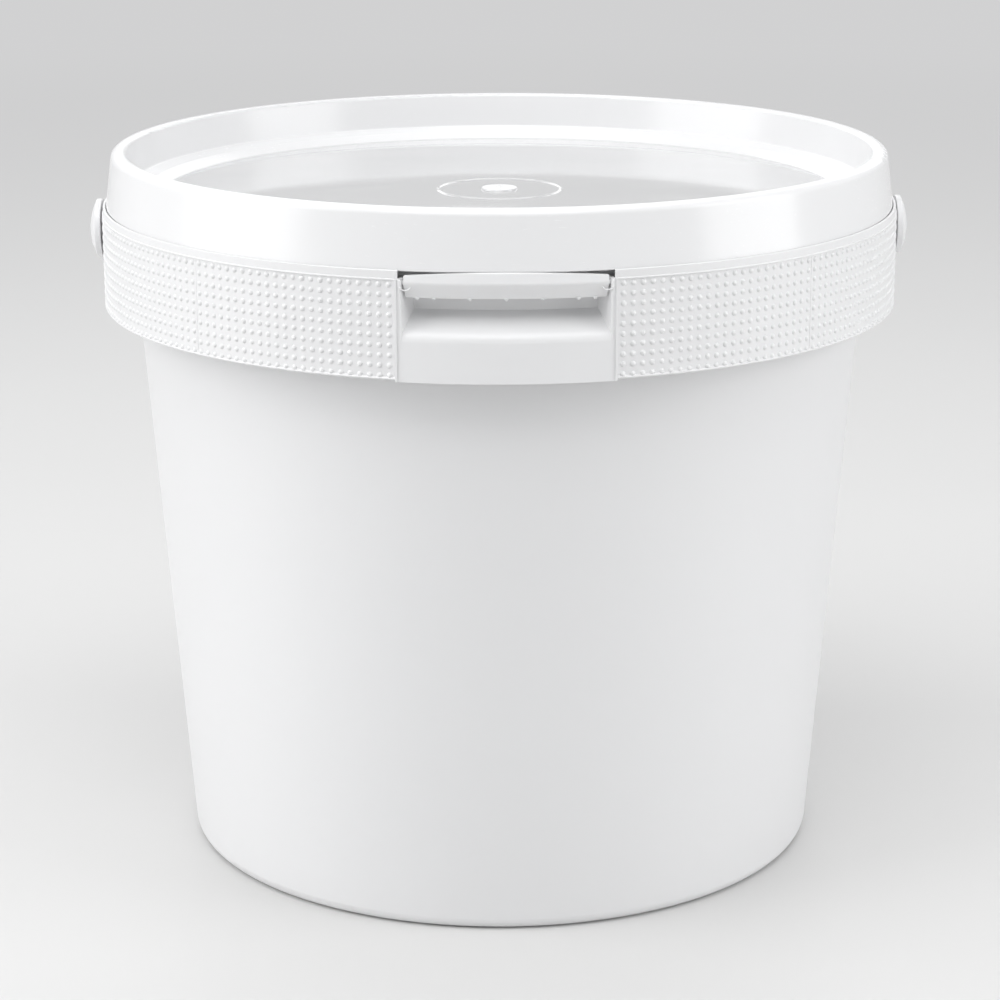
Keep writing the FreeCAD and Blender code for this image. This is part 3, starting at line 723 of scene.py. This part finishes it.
def tab_tie(name, side, finish):
    """Thin sagging bridge of plastic between the tab's end and the pocket's side."""
    deselect_all()
    start = (TIE_SPAN / 2, 0, 0)
    bpy.ops.mesh.primitive_circle_add(vertices=TIE_SIDES, radius=TIE_THICKNESS / 2, location=start)
    tie = named(name)
    bpy.ops.object.transform_apply(location=True, rotation=True, scale=True)
    bpy.ops.object.mode_set(mode="EDIT")
    bpy.ops.mesh.select_all(action="SELECT")
    bpy.ops.transform.rotate(value=math.radians(90), orient_axis="X", center_override=start)
    bpy.ops.mesh.spin(steps=TIE_STEPS, angle=math.radians(180), center=(0, 0, 0), axis=(0, 0, 1))
    bpy.ops.mesh.select_all(action="DESELECT")
    bpy.ops.mesh.select_non_manifold()
    bpy.ops.mesh.edge_face_add()
    bpy.ops.object.mode_set(mode="OBJECT")
    stand = Matrix.Rotation(math.radians(90), 4, "X")
    sag = Matrix.Diagonal((1, 1, TIE_SAG, 1))
    place = Matrix.Translation((side * TIE_ACROSS, -TIE_DEPTH, LID_TOP - TIE_BELOW_TOP))
    tie.matrix_world = place @ sag @ stand
    settle(tie)
    finish_piece(tie, "pail", finish)


# Lid's nub and handle's ridges

def gate_nub(finish):
    """Twisted-off gate mark on the middle of the lid's panel."""
    deselect_all()
    foot = LID_TOP - LID_PANEL_DEPTH + GATE_DISC_HEIGHT
    bpy.ops.mesh.primitive_cone_add(vertices=NUB_SIDES, radius1=NUB_FOOT_RADIUS, radius2=NUB_TOP_RADIUS,
                                    depth=NUB_HEIGHT, location=(0, 0, foot + NUB_RISE))
    nub = named("lid_gate_nub")
    bpy.ops.object.mode_set(mode="EDIT")
    select_faces(nub, lambda normal: normal.z > FLAT_FACE)
    bpy.ops.mesh.inset(thickness=NUB_SCAR_INSET)
    bpy.ops.transform.translate(value=NUB_SCAR_SHIFT)
    round_all_edges(NUB_ROUNDING, segments=2)
    settle(nub)
    finish_piece(nub, "pail", finish)


def grip_ridges(finish):
    """Row of low ridges across the outside of the handle's grip."""
    pattern = block("ridge", (RIDGE_WIDTH, 2 * RIDGE_PROUD, RIDGE_LENGTH))
    round_all_edges(RIDGE_ROUNDING, segments=3)
    hang = (Matrix.Translation((0, 0, PIVOT_HEIGHT))
            @ Matrix.Rotation(math.radians(-HANDLE_HANG), 4, "X")
            @ Matrix.Translation((0, BOW_STRAIGHT, 0)))
    outward = Matrix.Translation((0, STRAP_OUTER_RADIUS, 0))
    copies = []
    for number in range(RIDGE_COUNT):
        angle = (number - (RIDGE_COUNT - 1) / 2) * RIDGE_PITCH / STRAP_OUTER_RADIUS
        copy = copy_of(pattern)
        copy.matrix_world = hang @ Matrix.Rotation(angle, 4, "Z") @ outward
        copies.append(copy)
    bpy.data.objects.remove(pattern)
    ridges = join(copies, "grip_ridges")
    settle(ridges)
    finish_piece(ridges, "bail", finish)


# Camera and studio

def set_up_camera():
    """A long lens a little above the lid, looking down at the pail."""
    data = bpy.data.cameras.new("camera")
    data.lens = CAMERA_LENS
    data.sensor_width = SENSOR_WIDTH
    data.clip_end = VIEW_REACH
    camera = bpy.data.objects.new("camera", data)
    bpy.context.scene.collection.objects.link(camera)
    turn = Matrix.Rotation(math.radians(CAMERA_TURN), 4, "Z")
    tip = Matrix.Rotation(math.radians(90.0 - CAMERA_DIP), 4, "X")
    roll = Matrix.Rotation(CAMERA_ROLL, 4, "Z")
    camera.matrix_world = Matrix.Translation(CAMERA_PLACE) @ turn @ tip @ roll
    bpy.context.scene.camera = camera


def soft_lamp(name, place, size, power):
    data = bpy.data.lights.new(name, "AREA")
    data.shape = "RECTANGLE"
    data.size, data.size_y = size
    data.energy = power
    lamp = bpy.data.objects.new(name, data)
    bpy.context.scene.collection.objects.link(lamp)
    lamp.location = place
    lamp.rotation_euler = (Vector(LAMP_AIM) - Vector(place)).to_track_quat("-Z", "Y").to_euler()


def background_rays(tree):
    """Mask of the rays that see the background: camera, glossy and transmission rays."""
    rays = node(tree, "ShaderNodeLightPath").outputs
    mirrored = math_node(tree, "MAXIMUM", rays["Is Glossy Ray"], rays["Is Transmission Ray"])
    return math_node(tree, "MAXIMUM", rays["Is Camera Ray"], mirrored)


def floor_material():
    """Pale, faintly patched floor that fades to the background far from the pail."""
    material = bpy.data.materials.new("pale_floor")
    material.use_nodes = True
    tree = material.node_tree
    shader = tree.nodes["Principled BSDF"]
    where = object_coordinates(tree)
    tone = node(tree, "ShaderNodeMix", data_type="RGBA")
    tone.inputs["A"].default_value = FLOOR_TONE
    tone.inputs["B"].default_value = tuple(FLOOR_PATCH_SHARE * part for part in FLOOR_TONE[:3]) + (1,)
    tree.links.new(noise(tree, where, scale=3.0), tone.inputs["Factor"])
    tree.links.new(tone.outputs["Result"], shader.inputs["Base Color"])
    shader.inputs["Roughness"].default_value = FLOOR_ROUGHNESS
    away = node(tree, "ShaderNodeVectorMath", operation="LENGTH")
    tree.links.new(where, away.inputs[0])
    far = fade(tree, away.outputs["Value"], FAR_FLOOR_START, FAR_FLOOR_FULL)
    seen = math_node(tree, "MULTIPLY", far, background_rays(tree))
    pale = node(tree, "ShaderNodeEmission")
    pale.inputs["Color"].default_value = BACKGROUND_TONE
    mix = node(tree, "ShaderNodeMixShader")
    tree.links.new(seen, mix.inputs["Fac"])
    tree.links.new(shader.outputs["BSDF"], mix.inputs[1])
    tree.links.new(pale.outputs["Emission"], mix.inputs[2])
    tree.links.new(mix.outputs["Shader"], tree.nodes["Material Output"].inputs["Surface"])
    return material


def set_up_stage():
    """Wide floor that runs out of view."""
    deselect_all()
    bpy.ops.mesh.primitive_circle_add(vertices=FLOOR_SIDES, radius=FLOOR_RADIUS, fill_type="NGON")
    floor = named("floor")
    floor.data.materials.append(floor_material())


def set_up_world():
    """Pale light all round, a little stronger low down behind the pail, and a plain background."""
    world = bpy.data.worlds.new("studio")
    bpy.context.scene.world = world
    world.use_nodes = True
    tree = world.node_tree
    light = tree.nodes["Background"]
    light.inputs["Strength"].default_value = WORLD_STRENGTH
    parts = node(tree, "ShaderNodeSeparateXYZ")
    tree.links.new(node(tree, "ShaderNodeTexCoord").outputs["Generated"], parts.inputs["Vector"])
    behind = fade(tree, parts.outputs["Y"], WORLD_BEHIND_START, WORLD_BEHIND_FULL)
    low = fade(tree, parts.outputs["Z"], WORLD_LOW_START, WORLD_LOW_FULL)
    tone = node(tree, "ShaderNodeMix", data_type="RGBA")
    tone.inputs["A"].default_value = WORLD_TONE
    tone.inputs["B"].default_value = WORLD_BEHIND_TONE
    tree.links.new(math_node(tree, "MULTIPLY", behind, low), tone.inputs["Factor"])
    tree.links.new(tone.outputs["Result"], light.inputs["Color"])
    seen = node(tree, "ShaderNodeBackground")
    seen.inputs["Color"].default_value = BACKGROUND_TONE
    mix = node(tree, "ShaderNodeMixShader")
    tree.links.new(background_rays(tree), mix.inputs["Fac"])
    tree.links.new(light.outputs["Background"], mix.inputs[1])
    tree.links.new(seen.outputs["Background"], mix.inputs[2])
    tree.links.new(mix.outputs["Shader"], tree.nodes["World Output"].inputs["Surface"])


def set_up_light():
    bpy.context.scene.view_settings.view_transform = "Standard"
    set_up_world()
    for name, (place, size, power) in LAMPS.items():
        soft_lamp(name, place, size, power)


def finish_mouldings(finishes):
    """Gives each moulding of the frame its finish."""
    for name, slot in MOULDING_FINISHES.items():
        for place in frame["nodes"][name].material_slots:
            place.material = finishes[slot]


def main():
    set_up_camera()
    set_up_stage()
    set_up_light()
    finishes = make_finishes()
    finish_mouldings(finishes)
    dot_fields(finishes["pail_plastic"])
    seam_rib("mould_seam_right", 1, finishes["pail_plastic"])
    seam_rib("mould_seam_left", -1, finishes["pail_plastic"])
    field_ledge(finishes["pail_plastic"])
    pocket_edge("pocket_edge_right", 1, finishes["pail_plastic"])
    pocket_edge("pocket_edge_left", -1, finishes["pail_plastic"])
    tab_stubs(finishes["tab_plastic"])
    tab_tie("tab_tie_right", 1, finishes["tab_plastic"])
    tab_tie("tab_tie_left", -1, finishes["tab_plastic"])
    gate_nub(finishes["lid_plastic"])
    grip_ridges(finishes["handle_plastic"])


main()
